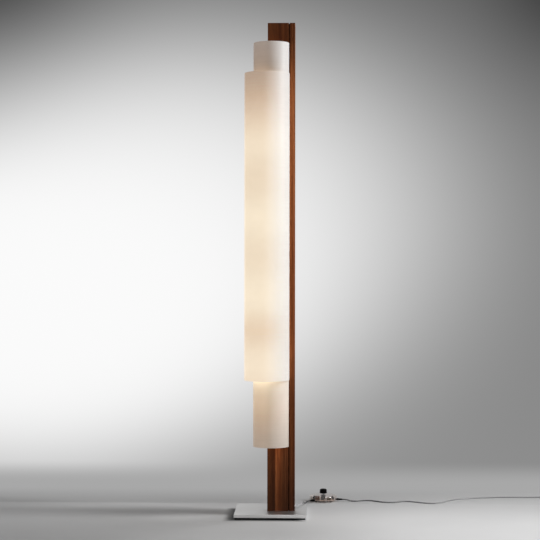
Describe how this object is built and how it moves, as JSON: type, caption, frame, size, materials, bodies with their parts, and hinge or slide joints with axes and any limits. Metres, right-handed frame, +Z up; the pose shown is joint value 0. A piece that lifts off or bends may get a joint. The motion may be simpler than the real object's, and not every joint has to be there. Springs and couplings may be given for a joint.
{
  "type": "floor lamp",
  "caption": "Tall floor lamp: two nested curled translucent sheets held in grooves of a square walnut post on a steel plate, with a clear foot dimmer in its cord.",
  "frame": {"origin": "middle of the base mat's underside, on the floor", "axes": "+Z up along the post, +X to the right as seen from the front, -Y to the front"},
  "size_m": [1.382, 0.6201, 1.8],
  "materials": {
    "brushed_steel": "satin",
    "black_rubber": "matte",
    "zinc_steel": "satin",
    "brass": "satin",
    "walnut": "oiled",
    "laminate": "laid paper texture",
    "beech": "matte",
    "white_cable": "matte",
    "white_plastic": "satin",
    "white_steel": "satin",
    "grey_cable": "matte",
    "grey_rubber": "matte",
    "grey_plastic": "satin",
    "clear_plastic": "clear",
    "circuit_board": "satin",
    "copper": "lacquered copper wire",
    "olive_film": "satin",
    "dark_aluminium": "anodised",
    "black_plastic": "satin",
    "opal_glass": "opal",
    "nickel": "plated"
  },
  "bodies": {
    "lamp": {"base_plate": "brushed_steel", "base_mat": "black_rubber", "post_screws": "zinc_steel", "post_inserts": "brass", "post_side_board": "walnut", "post_back_board": "walnut", "core_stave_left": "walnut", "core_stave_right": "walnut", "shade_outer": "laminate", "shade_inner": "laminate", "shade_stop_pins": "beech", "bulb_caps": "brass", "bracket_screws": "zinc_steel", "holder_nipples": "zinc_steel", "holder_nuts": "zinc_steel", "holder_leads": "white_cable", "wiring_trunk": "white_cable", "terminal_block": "white_plastic", "cord_inner": "grey_cable", "cord_boot": "grey_rubber", "cord_lead": "grey_cable", "dimmer_feet": "black_rubber", "dimmer_tray": "clear_plastic", "dimmer_cover": "clear_plastic", "dimmer_board": "circuit_board", "dimmer_choke": "copper", "dimmer_capacitor": "olive_film", "dimmer_heatsink": "dark_aluminium", "dimmer_terminals": "black_plastic", "dimmer_pot": "zinc_steel", "dimmer_nut": "zinc_steel", "dimmer_screws": "zinc_steel", "dimmer_boots": "grey_rubber", "dimmer_cable_ends": "grey_cable", "cord_mains": "grey_cable", "cord_coil": "grey_cable", "coil_tie": "black_rubber", "cord_tail": "grey_cable", "plug_boot": "grey_rubber", "plug_body": "grey_plastic", "plug_pins": "nickel", "bulb_1": "opal_glass", "lampholder_1": "white_plastic", "lamp_bracket_1": "white_steel", "bulb_2": "opal_glass", "lampholder_2": "white_plastic", "lamp_bracket_2": "white_steel", "bulb_3": "opal_glass", "lampholder_3": "white_plastic", "lamp_bracket_3": "white_steel", "bulb_4": "opal_glass", "lampholder_4": "white_plastic", "lamp_bracket_4": "white_steel"},
    "plunger": {"switch_plunger": "white_plastic"},
    "knob": {"dimmer_shaft": "zinc_steel", "dimmer_knob": "black_plastic"}
  },
  "joints": [
    {"name": "knob_push", "type": "slide", "parent": "lamp", "child": "plunger", "axis": [0, 0, -1], "range_m": [0, 0.0025], "stiffness_N_per_m": 1200, "springref_m": -0.002},
    {"name": "knob_turn", "type": "hinge", "parent": "plunger", "child": "knob", "pos_m": [0.195, 0.312, 0.04], "axis": [0, 0, -1], "range_deg": [0, 280]}
  ]
}
